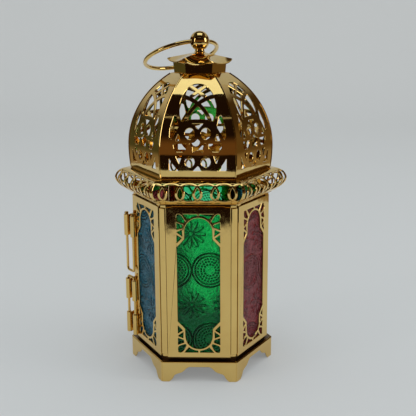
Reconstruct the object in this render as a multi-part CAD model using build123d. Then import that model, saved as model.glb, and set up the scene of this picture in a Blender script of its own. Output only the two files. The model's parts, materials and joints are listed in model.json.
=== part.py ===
# Hexagonal candle lantern: pierced brass case, coloured panes, hinged door, hanging ring.
import math
import os

from build123d import *

# Driving dimensions in millimetres and degrees
sheet = 0.8
skirt_corner = 47.0
skirt_height = 13.6
body_inset = 1.45
corner_cut = 2.85
panel_height = 96.2
reveal = 2.1
panel_border = 6.45
window_sill = 3.7
window_head = 4.2
glass = 2.0
cornice_height = 15.0
nose_reach = 8.4
dome_wall = 14.1
dome_tuck = 0.9
dome_height = 59.6
tracery_width = 1.7
neck_flat = 14.3
neck_inset = 0.85
neck_height = 6.7
cap_overhang = 5.7
ball_radius = 6.0
ring_radius = 23.4
ring_wire = 1.35
ring_heading = 126.0
ring_tilt = 23.5
hinge_wire = 0.85
barrel_radius = 1.8
barrel_length = 13.8

# Clearances and overlaps
panel_gap = 0.3
strip_drop = 0.3
post_wing = 3.4
glass_overlap = 1.2
glass_play = 0.1
stop_gap = 0.5
wire_fit = 0.08
top_gap = 1.2
ring_play = 0.35

# Sizes that follow from the ones above
slope = math.tan(math.radians(30))
skirt_flat = skirt_corner * math.cos(math.radians(30))
body_flat = skirt_flat - body_inset
wing_face = body_flat - sheet
curb_face = wing_face - sheet
strip_edge = body_flat * slope - corner_cut
wing_root = strip_edge - 0.5
curb_corner = curb_face * math.cos(math.radians(30)) + wing_root / 2
panel_half = strip_edge - panel_gap
panel_low = skirt_height + reveal
panel_top = panel_low + panel_height
window_half = panel_half - panel_border
window_low = panel_low + window_sill
window_top = panel_top - window_head
window_mid = (window_low + window_top) / 2
pane_half = window_half + 1.7 * glass_overlap
pane_low = window_low - glass_overlap
pane_top = window_top + glass_overlap
flange_low = panel_top + top_gap
cornice_low = flange_low + sheet
cornice_top = cornice_low + cornice_height
nose_flat = body_flat + nose_reach
dome_spring = cornice_top + dome_wall
dome_top = cornice_top + dome_height
dome_rise = dome_top - dome_spring
dome_draw = body_flat - neck_flat - neck_inset
dome_arc = (dome_rise**2 + dome_draw**2) / (2 * dome_draw)
dome_swing = math.asin(dome_rise / dome_arc)
neck_top = dome_top + neck_height
cap_corner = neck_flat + cap_overhang

side_names = ["rear_right", "rear", "rear_left", "front_left", "front", "front_right"]
post_names = ["right", "rear_right", "rear_left", "left", "front_left", "front_right"]
door_side = 2
nodes = {}


def side_angle(index):
    return 30 + 60 * index


def on_side(shape, index):
    return Rot(0, 0, side_angle(index)) * shape


def side_point(angle, across, out):
    turn = math.radians(angle)
    x = out * math.cos(turn) - across * math.sin(turn)
    y = out * math.sin(turn) + across * math.cos(turn)
    return (x, y)


def hexagon(flat):
    return RegularPolygon(flat, 6, major_radius=False)


def hex_tube(outer_flat, wall, low, high):
    ring = hexagon(outer_flat) - hexagon(outer_flat - wall)
    return Pos(0, 0, low) * extrude(ring, high - low)


def cut_hexagon(flat, corner):
    return hexagon(flat) & Rot(0, 0, 30) * hexagon(corner)


def cut_tube(low, high):
    ring = cut_hexagon(curb_face, curb_corner) - cut_hexagon(curb_face - sheet, curb_corner - sheet)
    return Pos(0, 0, low) * extrude(ring, high - low)


def side_plane(out):
    return Plane(origin=(out, 0, 0), x_dir=(0, 1, 0), z_dir=(1, 0, 0))


def side_run(profile):
    run = extrude(Plane.XZ * profile, 40, both=True)
    reach = 80
    wedge = Polygon((0, 0), (reach, -reach * slope), (reach, reach * slope), align=None)
    return run & extrude(wedge, 260)


def four_ways(shape):
    pair = shape + mirror(shape, Plane.YZ)
    return pair + mirror(pair, Plane.XZ)


# Base: folded skirt with an ogee arch in each side, and the floor with its curb
def ogee_arch():
    wide = skirt_corner / 47
    tall = skirt_height / 13.6
    outline = [(0, -1), (18.8, -1), (18.8, 0), (16.9, 1.9), (15.4, 4.3), (14.3, 5.1)]
    outline += [(12.3, 5.8), (10.6, 6.4), (8.8, 7.9), (6.4, 9.9), (0, 9.9)]
    half = Polygon(*[(x * wide, z * tall) for x, z in outline], align=None)
    return half + mirror(half, Plane.YZ)


skirt = hex_tube(skirt_flat, sheet, 0, skirt_height)
for index in range(3):
    arch = extrude(side_plane(0) * ogee_arch(), 2 * skirt_flat, both=True)
    skirt -= on_side(arch, index)
nodes["base_skirt"] = skirt

floor_low = skirt_height - sheet
floor = Pos(0, 0, floor_low) * extrude(hexagon(skirt_flat - sheet), sheet)
floor += cut_tube(skirt_height, pane_low - stop_gap)
nodes["base_floor"] = floor


# Corner posts: a flat strip across each corner with a wing behind each fixed panel
def post_section(angle, wing_before, wing_after):
    before = angle - 30
    after = angle + 30
    strip_face = body_flat - strip_drop
    low = strip_edge - post_wing
    points = []
    if wing_before:
        points.append(side_point(before, low, curb_face))
        points.append(side_point(before, low, wing_face))
        points.append(side_point(before, strip_edge, wing_face))
    points.append(side_point(before, strip_edge, strip_face))
    points.append(side_point(after, -strip_edge, strip_face))
    if wing_after:
        points.append(side_point(after, -strip_edge, wing_face))
        points.append(side_point(after, -low, wing_face))
        points.append(side_point(after, -low, curb_face))
    points.append(side_point(after, -wing_root, curb_face))
    points.append(side_point(before, wing_root, curb_face))
    return Polygon(*points, align=None)


strip_low = panel_low + 1.6
strip_top = panel_top - 1.0
for index, name in enumerate(post_names):
    section = post_section(60 * index, index != door_side + 1, index != door_side)
    core = section & hexagon(wing_face)
    post = Pos(0, 0, strip_low) * extrude(section, strip_top - strip_low)
    post += Pos(0, 0, skirt_height) * extrude(core, flange_low - skirt_height)
    nodes["post_" + name] = post


# Window panels: round-headed opening at both ends, zigzag bars in the corners, tabs over the pane
head_unit = window_half / 13
head_radius = 8.4 * head_unit
head_centre = window_top - window_mid - 10.7 * head_unit
shoulder = head_centre - 4.7 * head_unit
flare = head_centre - 9.7 * head_unit


def centre_opening():
    outline = [(0, 0), (window_half, 0), (window_half, flare), (head_radius, shoulder)]
    for angle in range(0, 91, 15):
        turn = math.radians(angle)
        outline.append((head_radius * math.cos(turn), head_centre + head_radius * math.sin(turn)))
    return four_ways(Polygon(*outline, align=None))


def corner_opening(*spots):
    return Polygon(*[(x * head_unit, head_centre + z * head_unit) for x, z in spots], align=None)


def corner_openings():
    cuts = corner_opening((0.7, 9.8), (3.2, 9.3), (5.3, 8.3), (6.3, 7.5), (9.0, 10.7), (0.7, 10.7))
    cuts += corner_opening((7.7, 6.3), (10.5, 10.7), (11.7, 10.7), (13, 9.4), (13, 6.9), (8.4, 5.2))
    cuts += corner_opening((9.2, 4.1), (13, 5.6), (13, 1.3), (9.5, 2.7))
    cuts += corner_opening((9.8, 1.2), (12.9, -0.2), (9.6, -2.7))
    cuts += corner_opening((10.1, -3.9), (13, -2.0), (13, -6.9))
    return four_ways(cuts)


def pane_tabs():
    depth = sheet + glass + glass_play + sheet
    stem = Pos(pane_half + glass_play + sheet / 2, 0, -depth / 2) * Box(sheet, 5, depth)
    lip = Pos(pane_half - 0.4, 0, sheet / 2 - depth) * Box(2.6, 5, sheet)
    tab = Pos(0, panel_height / 4, 0) * (stem + lip)
    return four_ways(tab)


def window_panel():
    plate = Pos(0, (panel_low + panel_top) / 2) * Rectangle(2 * panel_half, panel_height)
    plate -= Pos(0, window_mid) * (centre_opening() + corner_openings())
    solid = extrude(plate, -sheet) + Pos(0, window_mid, 0) * pane_tabs()
    return side_plane(body_flat).location * solid


def pane():
    size = Rectangle(2 * pane_half, pane_top - pane_low)
    slab = extrude(Pos(0, (pane_low + pane_top) / 2) * size, -glass)
    return side_plane(wing_face).location * slab


panel = window_panel()
sheet_glass = pane()
for index, name in enumerate(side_names):
    label = "door_panel" if index == door_side else "panel_" + name
    nodes[label] = on_side(panel, index)
    nodes["glass_" + name] = on_side(sheet_glass, index)

# Ring that ties the tops of the posts together and carries the cornice
tie = cut_tube(pane_top + stop_gap, flange_low)
flange = hexagon(body_flat) - cut_hexagon(curb_face - sheet, curb_corner - sheet)
tie += Pos(0, 0, flange_low) * extrude(flange, sheet)
nodes["top_ring"] = tie


# Cornice: pierced rounded moulding in six mitred sides
def cornice_profile():
    low = cornice_low
    inner = curb_face - sheet
    tall = cornice_height
    points = [(inner, low), (body_flat + 0.1 * nose_reach, low)]
    points += [(nose_flat - 0.31 * nose_reach, low + 0.23 * tall), (nose_flat, low + 0.41 * tall)]
    points += [(nose_flat, cornice_top - 0.25 * tall)]
    points += [(nose_flat - 0.29 * nose_reach, cornice_top - 0.07 * tall)]
    points += [(nose_flat - 0.71 * nose_reach, cornice_top)]
    points.append((inner, cornice_top))
    full = Polygon(*points, align=None)
    hollow = offset(full, -sheet, kind=Kind.INTERSECTION)
    back = Pos(inner, (low + cornice_top) / 2) * Rectangle(3 * sheet, cornice_height - 2 * sheet)
    return full - hollow - back


def cornice_openings():
    low = cornice_low + 0.45 * cornice_height
    pitch = nose_flat * 2 * slope / 5.4
    wide = 0.15 * pitch
    tall = 0.27 * cornice_height
    oval = Polygon(
        (0, 0), (wide, 0.3 * tall), (wide, 0.7 * tall),
        (0, tall), (-wide, 0.7 * tall), (-wide, 0.3 * tall), align=None,
    )
    vase = Polygon(
        (-0.24 * pitch, 0), (0.24 * pitch, 0), (0.1 * pitch, tall / 2),
        (0.24 * pitch, tall), (-0.24 * pitch, tall), (-0.1 * pitch, tall / 2), align=None,
    )
    cuts = Sketch()
    for step in range(-2, 3):
        cuts += Pos(pitch * step, low) * oval
        cuts += Pos(pitch * step, cornice_top - 0.14 * cornice_height) * Rectangle(0.6 * pitch, 1.1)
    for step in range(-2, 2):
        cuts += Pos(pitch * (step + 0.5), low) * vase
    return cuts


cornice = side_run(cornice_profile())
cornice -= extrude(side_plane(body_flat + 2) * cornice_openings(), 2 * nose_reach)
for index, name in enumerate(side_names):
    nodes["cornice_" + name] = on_side(cornice, index)


# Dome: six curved gores with strapwork below and a pierced arch above
gore_flats = 7


def gore_profile():
    outer = [(body_flat - dome_tuck, cornice_top)]
    inner = [(body_flat - dome_tuck - sheet, cornice_top)]
    for step in range(gore_flats + 1):
        turn = dome_swing * step / gore_flats
        height = dome_spring + dome_arc * math.sin(turn)
        reach = body_flat - dome_arc + dome_arc * math.cos(turn)
        outer.append((reach, height))
        inner.append((reach - sheet / math.cos(turn), height))
    return Polygon(*outer, *reversed(inner), align=None)


def opening(*spots):
    unit = dome_height / 60
    return Polygon(*[(x * unit, cornice_top + z * unit) for x, z in spots], align=None)


def eye(across, height):
    turns = [math.tau * (step + 0.5) / 8 for step in range(8)]
    return opening(*[(across + 3.0 * math.cos(turn), height + 3.3 * math.sin(turn)) for turn in turns])


def strapwork():
    half = [eye(4.7, 10.4), eye(4.7, 26.9)]
    half.append(opening((9.2, 14.1), (10.9, 9.2), (13.0, 14.1)))
    half.append(opening((9.9, 23.2), (13.1, 22.8), (11.4, 26.9)))
    half.append(opening((11.2, 4.9), (16.8, 4.9), (16.8, 12.4), (13.5, 7.3)))
    half.append(opening((6.3, 21.0), (8.5, 16.4), (12.5, 16.4), (14.2, 21.0)))
    half.append(opening((16.2, 29.7), (13.8, 37.3), (12.4, 36.8), (11.2, 30.6), (15.4, 23.7)))
    whole = half + [mirror(face, Plane.YZ) for face in half]
    whole.append(opening((-3.0, 4.8), (3.0, 4.8), (0, 8.0)))
    whole.append(opening((-3.3, 32.6), (3.3, 32.6), (0, 29.1)))
    star = opening((0, 17.5), (2.9, 16.0), (3.0, 19.2), (5.0, 21.2), (2.0, 21.9), (0, 23.9))
    whole.append(star + mirror(star, Plane.YZ))
    return whole


def crossed_arch():
    unit = dome_height / 60
    half = opening(
        (0, 35.1), (6.0, 34.9), (9.3, 33.6), (10.6, 37.5), (10.9, 43.5), (8.6, 49.4), (4.6, 53.3), (0, 54.6)
    )
    arch = half + mirror(half, Plane.YZ)
    for turn in (-1, 1):
        rim = Pos(8.5 * unit * turn, cornice_top + 31.8 * unit)
        outer = RegularPolygon(15.7 * unit + tracery_width / 2, 18)
        arch -= rim * (outer - RegularPolygon(15.7 * unit - tracery_width / 2, 18))
        bar = Rectangle(16 * unit, tracery_width)
        arch -= Pos(0, cornice_top + 50.8 * unit) * Rot(0, 0, 40 * turn) * bar
    return [face for face in arch.faces() if face.area > 1.5]


gore = side_run(gore_profile())
for hole in strapwork() + crossed_arch():
    gore -= extrude(side_plane(1) * hole, 60)
for index, name in enumerate(side_names):
    nodes["gore_" + name] = on_side(gore, index)

# Neck collar between the dome and the cap
nodes["neck_collar"] = hex_tube(neck_flat, sheet, dome_top, neck_top)

# Cap: sheet drawn up to the stem, six drooping lobes between ridges that rise to the corners
cap_boss = 4.8
cap_rise = 3.6
cap_lift = 1.2
stud_radius = 1.5
stud_fit = 0.2


def cap_shape(radius, angle):
    part = max(0, (radius - cap_boss) / (cap_corner - cap_boss))
    droop = abs(math.sin(math.radians(3 * angle)))
    return cap_rise * (1 - part) ** 2 + cap_lift * part * (1.5 - 2 * droop)


cap_low = neck_top - cap_shape(neck_flat, 30)
cap_seat = cap_low + cap_rise + sheet


def cap_point(step, angle, lift):
    turn = math.radians(angle)
    rim = cap_corner * (1 - 0.1 * abs(math.sin(3 * turn)))
    radius = stud_radius + stud_fit
    if step > 0:
        radius = cap_boss + (rim - cap_boss) * (step - 1)
    height = cap_low + lift + cap_shape(radius, angle)
    return (radius * math.cos(turn), radius * math.sin(turn), height)


def facets(a, b, c, d):
    return [Face(Wire.make_polygon([a, b, c])), Face(Wire.make_polygon([a, c, d]))]


def cap_sheet():
    faces = []
    steps = [0, 1, 1.3, 1.65, 2]
    for angle in range(0, 360, 15):
        after = angle + 15
        for near, far in zip(steps, steps[1:]):
            for lift in (0, sheet):
                ends = [cap_point(near, angle, lift), cap_point(far, angle, lift)]
                ends += [cap_point(far, after, lift), cap_point(near, after, lift)]
                faces += facets(*ends)
        for step in (0, 2):
            ends = [cap_point(step, angle, 0), cap_point(step, after, 0)]
            ends += [cap_point(step, after, sheet), cap_point(step, angle, sheet)]
            faces += facets(*ends)
    return Solid(Shell(faces))


nodes["cap"] = cap_sheet()

# Finial: turned foot and ball on a stud, cross-drilled for the ring, with a nut under the cap
nut_height = 2.4
stem_radius = 2.8
stem_height = 2.72
ball_centre = cap_seat + stem_height + math.sqrt(ball_radius**2 - stem_radius**2)
stud_end = cap_seat - sheet - nut_height - 1.0
ball_flats = 10


def lathe(profile, sides):
    faces = []
    for near, far in zip(profile, profile[1:] + profile[:1]):
        for step in range(sides):
            corners = []
            for spot, turns in ((near, step), (far, step), (far, step + 1), (near, step + 1)):
                turn = math.tau * (turns % sides) / sides
                corner = (spot[0] * math.cos(turn), spot[0] * math.sin(turn), spot[1])
                if corner not in corners:
                    corners.append(corner)
            if len(corners) > 2:
                faces.append(Face(Wire.make_polygon(corners)))
    return Solid(Shell(faces))


foot = [
    (0, stud_end), (stud_radius, stud_end), (stud_radius, cap_seat), (cap_boss, cap_seat),
    (stem_radius + 0.8, cap_seat + 0.35 * stem_height), (stem_radius + 0.2, cap_seat + 0.7 * stem_height),
]
start = math.degrees(math.asin(stem_radius / ball_radius))
for step in range(ball_flats):
    turn = math.radians(start + (180 - start) * step / ball_flats)
    foot.append((ball_radius * math.sin(turn), ball_centre - ball_radius * math.cos(turn)))
foot.append((0, ball_centre + ball_radius))
finial = lathe(foot, 24)
ring_hole = ring_wire + ball_radius**2 / (2 * ring_radius) + ring_play
drill = extrude(RegularPolygon(ring_hole, 12, major_radius=False), 2 * ball_radius, both=True)
finial -= Pos(0, 0, ball_centre) * Rot(0, 0, ring_heading) * Rot(90, 0, 0) * drill
nodes["finial"] = finial

thread = RegularPolygon(stud_radius + wire_fit, 12, major_radius=False)
nut = extrude(RegularPolygon(2.75, 6, major_radius=False) - thread, nut_height)
nodes["finial_nut"] = Pos(0, 0, cap_seat - sheet - nut_height) * nut

# Hanging ring, threaded through the ball and leaning to the rear left
lean = math.radians(ring_tilt)
turn = math.radians(ring_heading)
down = Vector(math.cos(lean) * math.cos(turn), math.cos(lean) * math.sin(turn), -math.sin(lean))
along = Vector(-math.sin(turn), math.cos(turn), 0)
wire = []
for angle in range(0, 360, 45):
    spot = math.radians(angle + 22.5)
    wire.append((ring_radius + ring_wire * math.cos(spot), ring_wire * math.sin(spot)))
ring_place = Plane(
    origin=Vector(0, 0, ball_centre) + down * ring_radius, x_dir=down, z_dir=down.cross(along)
)
nodes["hanging_ring"] = ring_place.location * lathe(wire, 44)

# Hinge at the left corner: paired barrels joined by wire staples
leaf = 0.6
leaf_reach = 4.5
leaf_edge = 0.4
barrel_inset = 4.0
barrel_overhang = 5.5
upper_barrel = panel_low + 0.786 * panel_height
middle_barrel = panel_low + 0.334 * panel_height
lower_barrel = panel_low + 0.09 * panel_height
pivot_out = body_flat + barrel_radius
near_across = panel_half - barrel_inset
far_across = panel_half + barrel_overhang


def rolled(radius):
    return RegularPolygon(radius, 12, major_radius=False, rotation=15)


def barrel(across, height, leaf_end):
    place = Pos(across, height, barrel_radius) * Rot(90, 0, 0)
    tube = place * extrude(rolled(barrel_radius), barrel_length / 2, both=True)
    width = abs(leaf_end - across)
    middle = (leaf_end + across) / 2
    tube += Pos(middle, height, leaf / 2) * Box(width, barrel_length, leaf)
    tube -= place * extrude(rolled(hinge_wire + wire_fit), barrel_length, both=True)
    return side_plane(body_flat).location * tube


def barrels(across, leaf_end, heights, index):
    return on_side(Part() + [barrel(across, height, leaf_end) for height in heights], index)


def staple(start, end, open_end, cross_bar):
    run = Vector(end[0] - start[0], end[1] - start[1], 0)
    span = run.length
    rise = 1 if open_end > cross_bar else -1
    bend = 2 * hinge_wire
    nip = 0.3 * bend
    path = Polyline(
        (0, open_end), (0, cross_bar + rise * bend), (nip, cross_bar + rise * nip), (bend, cross_bar),
        (span - bend, cross_bar), (span - nip, cross_bar + rise * nip), (span, cross_bar + rise * bend),
        (span, open_end),
    )
    section = Plane(origin=(0, open_end, 0), z_dir=(0, -rise, 0)) * RegularPolygon(hinge_wire, 8)
    shape = sweep(section, path, transition=Transition.RIGHT)
    place = Plane(origin=(start[0], start[1], 0), x_dir=run, z_dir=run.cross(Vector(0, 0, 1)))
    return place.location * shape


def heads(spots, height):
    head = Part()
    for spot in spots:
        prism = extrude(RegularPolygon(1.5 * hinge_wire, 8), 2 * hinge_wire)
        head += Pos(spot[0], spot[1], height) * prism
    return head


heights = [upper_barrel, middle_barrel, lower_barrel]
case_pivot = side_point(side_angle(door_side + 1), -near_across, pivot_out)
door_pivot = side_point(side_angle(door_side), far_across, pivot_out)
nodes["hinge_barrels_case"] = barrels(-near_across, leaf_edge - panel_half, heights, door_side + 1)
nodes["hinge_barrels_door"] = barrels(far_across, panel_half - leaf_reach, heights, door_side)

staple_gap = 2.7
rest_gap = 0.2
upper_end = upper_barrel + barrel_length / 2 + rest_gap
lower_bar = middle_barrel + barrel_length / 2 + 2 * hinge_wire + rest_gap
upper_bar = lower_bar + 2 * hinge_wire + staple_gap
lower_end = lower_barrel - barrel_length / 2 - rest_gap
upper_staple = staple(case_pivot, door_pivot, upper_end, upper_bar)
nodes["hinge_wire_upper"] = upper_staple + heads([case_pivot, door_pivot], upper_end)
nodes["hinge_wire_lower"] = staple(case_pivot, door_pivot, lower_end, lower_bar)

# Latch at the rear corner: a staple hung in one barrel, swung over into a clip on the door
latch_height = panel_low + 0.55 * panel_height
latch_side = door_side - 1
latch_pivot = side_point(side_angle(latch_side), near_across, pivot_out)
clip_spot = side_point(side_angle(door_side), -far_across, pivot_out)
span = math.dist(latch_pivot, clip_spot)
latch_free = side_point(side_angle(latch_side), near_across - span, pivot_out)
latch_end = latch_height + barrel_length / 2 + rest_gap
latch_bar = latch_height - 1.35 * barrel_length
nodes["latch_barrel"] = barrels(near_across, panel_half - leaf_edge, [latch_height], latch_side)
latch_wire = staple(latch_pivot, latch_free, latch_end, latch_bar)
nodes["latch_wire"] = latch_wire + heads([latch_pivot], latch_end)


def latch_clip():
    size = barrel_length / 2
    clip = Cylinder(barrel_radius, size) - Cylinder(barrel_radius - 0.55, size)
    mouth = Pos(0, barrel_radius, 0) * Box(4 * barrel_radius, 2 * barrel_radius, size)
    clip -= Rot(0, 0, 60) * mouth
    width = barrel_overhang + leaf_reach
    clip += Pos(width / 2, leaf / 2 - barrel_radius, 0) * Box(width, leaf, size)
    place = Plane(origin=(pivot_out, -far_across, latch_height), x_dir=(0, 1, 0), z_dir=(0, 0, 1))
    return place.location * clip


nodes["latch_clip"] = on_side(latch_clip(), door_side)

os.makedirs("parts", exist_ok=True)
for name, shape in nodes.items():
    export_step(shape, "parts/" + name + ".step")
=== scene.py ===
import json
import math

import bmesh
import bpy
from mathutils import Matrix, Vector


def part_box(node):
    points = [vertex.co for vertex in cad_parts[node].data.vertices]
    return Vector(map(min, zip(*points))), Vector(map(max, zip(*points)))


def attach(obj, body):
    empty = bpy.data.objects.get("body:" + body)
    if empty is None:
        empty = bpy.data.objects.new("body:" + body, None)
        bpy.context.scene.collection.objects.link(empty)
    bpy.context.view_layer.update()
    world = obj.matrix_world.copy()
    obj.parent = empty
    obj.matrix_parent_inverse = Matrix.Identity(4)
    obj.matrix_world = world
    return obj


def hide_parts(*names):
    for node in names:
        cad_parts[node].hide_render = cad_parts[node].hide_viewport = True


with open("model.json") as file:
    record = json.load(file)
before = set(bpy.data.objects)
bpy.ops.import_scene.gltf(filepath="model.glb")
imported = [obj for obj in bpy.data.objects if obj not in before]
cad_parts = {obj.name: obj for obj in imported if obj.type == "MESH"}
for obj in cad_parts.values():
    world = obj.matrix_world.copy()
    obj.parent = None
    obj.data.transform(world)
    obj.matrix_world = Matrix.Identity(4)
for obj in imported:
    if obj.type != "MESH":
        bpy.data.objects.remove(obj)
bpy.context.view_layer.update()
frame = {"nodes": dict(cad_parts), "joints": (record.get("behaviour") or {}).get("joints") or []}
scene = bpy.context.scene
mm = 0.001
metal = 0.8  # thickness of the sheet
spare = 2.0  # how far a side runs on before it is mitred
weldGap, cutGap = 1e-4, 1e-5
sideNames = ["rear_right", "rear", "rear_left", "front_left", "front", "front_right"]
postNames = ["right", "rear_right", "rear_left", "left", "front_left", "front_right"]
sides = len(sideNames)
sideTurn = 360 // sides
doorSide = 2
tan30 = math.tan(math.radians(30))


def span(node):  # a node's corners in millimetres
    low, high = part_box(node)
    return low / mm, high / mm


def jointSpot(name):
    spot = next(joint["pos_m"] for joint in frame["joints"] if joint["name"] == name)
    return Vector(spot) / mm


def sideAngle(index):
    return sideTurn * (index + 0.5)


panelLow, panelHigh = span("panel_front")
bodyFlat = -panelLow.y
print("frame loaded")


class Wire:  # a socket that takes part in sums
    def __init__(self, graph, socket):
        self.graph = graph
        self.socket = socket

    def calc(self, how, *parts):
        node = self.graph.node("ShaderNodeMath", {"operation": how}, dict(enumerate(parts)))
        return Wire(self.graph, node.outputs[0])

    def __add__(self, other):
        return self.calc("ADD", self, other)

    def __radd__(self, other):
        return self.calc("ADD", other, self)

    def __sub__(self, other):
        return self.calc("SUBTRACT", self, other)

    def __rsub__(self, other):
        return self.calc("SUBTRACT", other, self)

    def __mul__(self, other):
        return self.calc("MULTIPLY", self, other)

    def __rmul__(self, other):
        return self.calc("MULTIPLY", other, self)

    def __pow__(self, other):
        return self.calc("POWER", self, other)

    def __rpow__(self, other):
        return self.calc("POWER", other, self)

    def cos(self):
        return self.calc("COSINE", self)

    def abs(self):
        return self.calc("ABSOLUTE", self)

    def max(self, other):
        return self.calc("MAXIMUM", self, other)

    def wrap(self, pitch):
        return self.calc("WRAP", self, pitch / 2, -pitch / 2)


class Graph:  # the nodes of one material or world
    def __init__(self, owner):
        owner.use_nodes = True
        self.owner = owner
        self.tree = owner.node_tree
        self.shader = self.tree.nodes.get("Principled BSDF")

    def node(self, kind, settings=None, sockets=None):
        node = self.tree.nodes.new(kind)
        for key, value in (settings or {}).items():
            setattr(node, key, value)
        for key, value in (sockets or {}).items():
            self.feed(node.inputs[key], value)
        return node

    def feed(self, slot, value):
        if isinstance(value, Wire):
            self.tree.links.new(value.socket, slot)
        else:
            slot.default_value = value

    def out(self, node, key=0):
        return Wire(self, node.outputs[key])

    def place(self):
        return self.out(self.node("ShaderNodeTexCoord"), "Object")

    def noise(self, place, scale, detail, rough=0.5):
        sockets = {"Vector": place, "Scale": scale, "Detail": detail, "Roughness": rough}
        return self.out(self.node("ShaderNodeTexNoise", {}, sockets))

    def blend(self, amount, a, b):
        return self.out(self.node("ShaderNodeMix", {"data_type": "RGBA"}, {0: amount, 6: a, 7: b}), 2)

    def smooth(self, value, low, high):
        settings = {"interpolation_type": "SMOOTHSTEP"}
        return self.out(self.node("ShaderNodeMapRange", settings, {0: value, 1: low, 2: high}))

    def bump(self, height, depth):
        return self.out(self.node("ShaderNodeBump", {}, {"Height": height, "Distance": depth}))

    def surface(self, **sockets):
        for key, value in sockets.items():
            self.feed(self.shader.inputs[key.replace("_", " ")], value)
        return self.owner

    def finishWith(self, output, factor, a, b):  # mixes two shaders into the last node
        mix = self.node("ShaderNodeMixShader", {}, {0: factor, 1: a, 2: b})
        self.feed(self.tree.nodes[output].inputs[0], self.out(mix))
        return self.owner


brassLook = {
    "gold": (0.84, 0.58, 0.20, 1), "deep": (0.72, 0.45, 0.13, 1), "stain": (0.30, 0.16, 0.05, 1),
    "rough": 0.05, "wave": 0.0004,
}
# dark brass for the base floor: painted shade under the panels
floorShadeLook = {
    "gold": (0.14, 0.08, 0.03, 1), "deep": (0.10, 0.055, 0.02, 1), "stain": (0.10, 0.06, 0.03, 1),
    "rough": 0.3, "wave": 0.0006,
}
wear = {
    # scale, detail and roughness of each noise, where its marks start and where they are full
    "tone": (38.0, 4.0, 0.5, 0.35, 0.7), "stain": (95.0, 6.0, 0.65, 0.62, 0.8),
    "smear": (160.0, 5.0, 0.7, 0.45, 0.75), "scratch": (420.0, 2.0, 0.5, 0.66, 0.74),
    "drawn": (1.0, 1.0, 14.0), "toneShare": 0.5, "stainShare": 0.3,
    "smearRough": 0.06, "stainRough": 0.1, "scratchRough": 0.05,
    "swell": (26.0, 1.0), "ripple": (75.0, 2.0), "rippleShare": 0.2, "scratchDepth": 0.001,
}


def makeBrass(name, look):
    g = Graph(bpy.data.materials.new(name))
    s = wear
    place = g.place()
    drawn = g.node("ShaderNodeVectorMath", {"operation": "MULTIPLY"}, {0: place, 1: s["drawn"]})

    def marks(kind, where):
        scale, detail, rough, start, full = s[kind]
        return g.smooth(g.noise(where, scale, detail, rough), start, full)

    tone, stain, smear = marks("tone", place), marks("stain", place), marks("smear", place)
    scratch = marks("scratch", g.out(drawn))
    colour = g.blend(tone * s["toneShare"], look["gold"], look["deep"])
    colour = g.blend(stain * s["stainShare"], colour, look["stain"])
    rough = look["rough"] + smear * s["smearRough"] + stain * s["stainRough"] + scratch * s["scratchRough"]
    wave = g.noise(place, *s["swell"]) + g.noise(place, *s["ripple"]) * s["rippleShare"]
    normal = g.bump(wave + scratch * s["scratchDepth"], look["wave"])
    return g.surface(Base_Color=colour, Metallic=1.0, Roughness=rough, Normal=normal)


brass = makeBrass("polishedBrass", brassLook)
floorShadeBrass = makeBrass("paintedShadeBrass", floorShadeLook)
print("brass ready")

glassLook = {
    # each tint: its colour, the dark colour of its lines and of the painted shade, its painted highlight
    # colour, how clear it is, its grain, and how strong the painted shade and highlight are
    "green": {
        "tint": (0.07, 0.92, 0.37, 1), "line": (0.001, 0.05, 0.012, 1), "paintedHighlight": (0.22, 1.0, 0.55, 1),
        "clear": 0.95, "grain": 0.28, "paintedEmbossStrength": 0.8},
    "blue": {
        "tint": (0.06, 0.42, 0.62, 1), "line": (0.002, 0.02, 0.035, 1), "paintedHighlight": (0.12, 0.62, 0.85, 1),
        "clear": 0.75, "grain": 0.65, "paintedEmbossStrength": 1.5},
    "red": {
        "tint": (0.64, 0.10, 0.115, 1), "line": (0.04, 0.003, 0.005, 1), "paintedHighlight": (0.85, 0.16, 0.18, 1),
        "clear": 0.75, "grain": 0.65, "paintedEmbossStrength": 1.5},
    # medallions in millimetres: a mark's pair says where it starts and where it is full
    "pitch": (22.0, 45.0), "rim": 10.7, "rimLine": (0.6, 0.2), "ring": 9.0, "ringLine": (0.5, 0.15),
    "bead": 1.8, "beadEdge": (0.7, 0.35), "beadsOut": (8.5, 8.1), "beadsIn": (2.9, 3.2), "beadRise": 0.6,
    # daisies between them, with painted shade around their petals
    "petals": 11, "petal": (1.6, 9.0), "taper": 0.5, "petalEdge": (0.3, 0.5), "petalFoot": 0.5,
    "petalTip": 1.2, "heartEdge": (1.5, 1.0), "petalShadeEnd": 0.45,
    # what of it shows, with painted shade and painted highlight as from a light at the upper left
    "ringShade": 0.85, "beadShade": 0.7, "shade": 0.85, "paintedHighlightShare": 0.8, "paintedLightSlant": (0.45, -0.45),
    "streak": (170.0, 4.0, 0.6), "streakMarks": (0.45, 0.7), "streakRise": 0.2, "streakRough": 0.025,
    "grain": (650.0, 2.0), "grainMarks": (0.4, 0.7), "grainRise": 0.15,
    "rough": 0.01, "depth": 0.0012, "bend": 1.27,
}


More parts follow.
